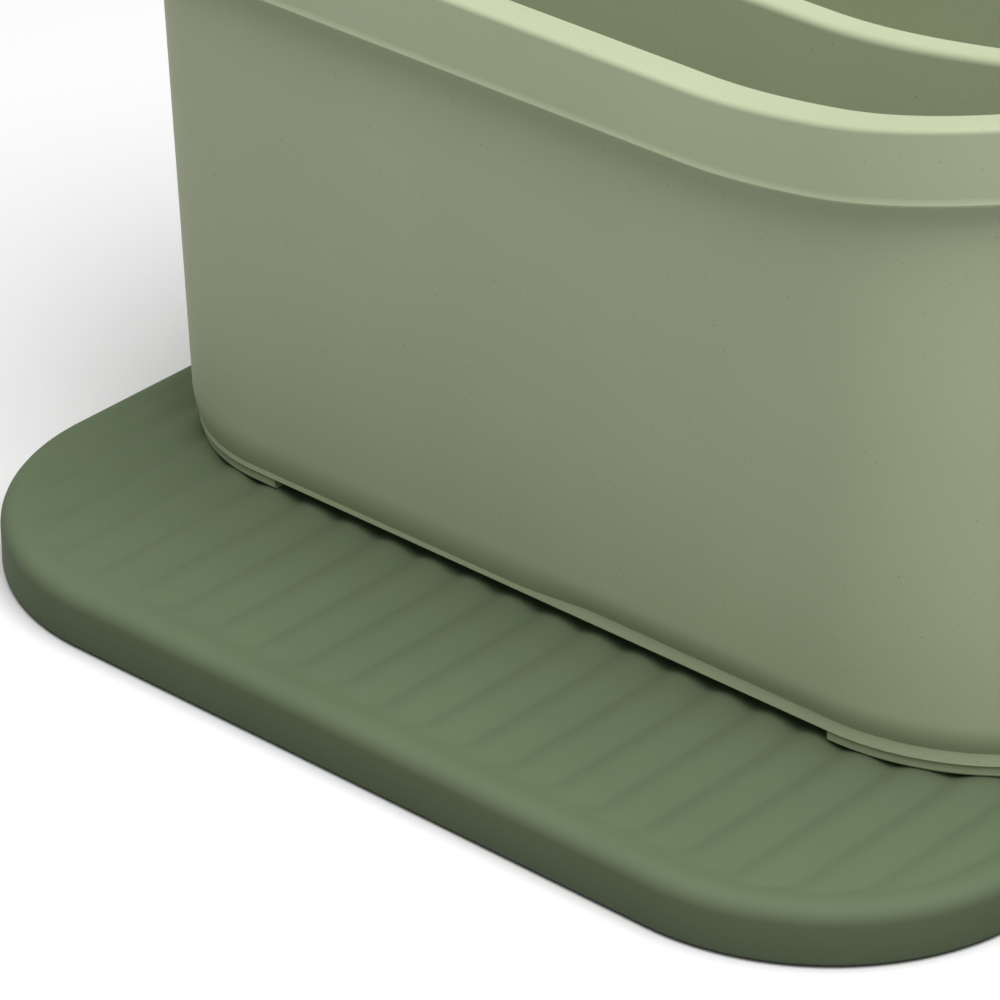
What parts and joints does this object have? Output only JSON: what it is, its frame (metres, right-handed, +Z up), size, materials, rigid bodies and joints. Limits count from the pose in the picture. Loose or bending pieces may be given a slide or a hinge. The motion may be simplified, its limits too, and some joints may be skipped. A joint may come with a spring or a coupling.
{
  "type": "kitchen sink caddy",
  "caption": "Sink caddy: a tapered tub with a rim that rises in a wave and a lift-out divider, standing on a dished, rippled drip tray.",
  "frame": {"origin": "on the surface that the pads stand on, under the middle of the whole object", "axes": "+Z up, +X along the tray towards the raised end of the rim, -Y to the front apron of the tray"},
  "size_m": [0.2044, 0.145, 0.1229],
  "materials": {
    "tray_plastic": "soft matte dark green moulded plastic",
    "caddy_plastic": "matte sage green moulded plastic with fine specks",
    "pad_rubber": "soft dark rubber"
  },
  "bodies": {
    "tray": {"drip_tray": "tray_plastic", "tray_pad_front_left": "pad_rubber", "tray_pad_front_right": "pad_rubber", "tray_pad_rear_left": "pad_rubber", "tray_pad_rear_right": "pad_rubber"},
    "caddy": {"caddy_body": "caddy_plastic"},
    "divider": {"divider": "caddy_plastic"}
  },
  "joints": [
    {"name": "caddy_lift", "type": "slide", "parent": "tray", "child": "caddy", "axis": [0, 0, 1], "range_m": [0, 0.06]},
    {"name": "divider_lift", "type": "slide", "parent": "caddy", "child": "divider", "axis": [0, 0, 1], "range_m": [0, 0.12]}
  ]
}
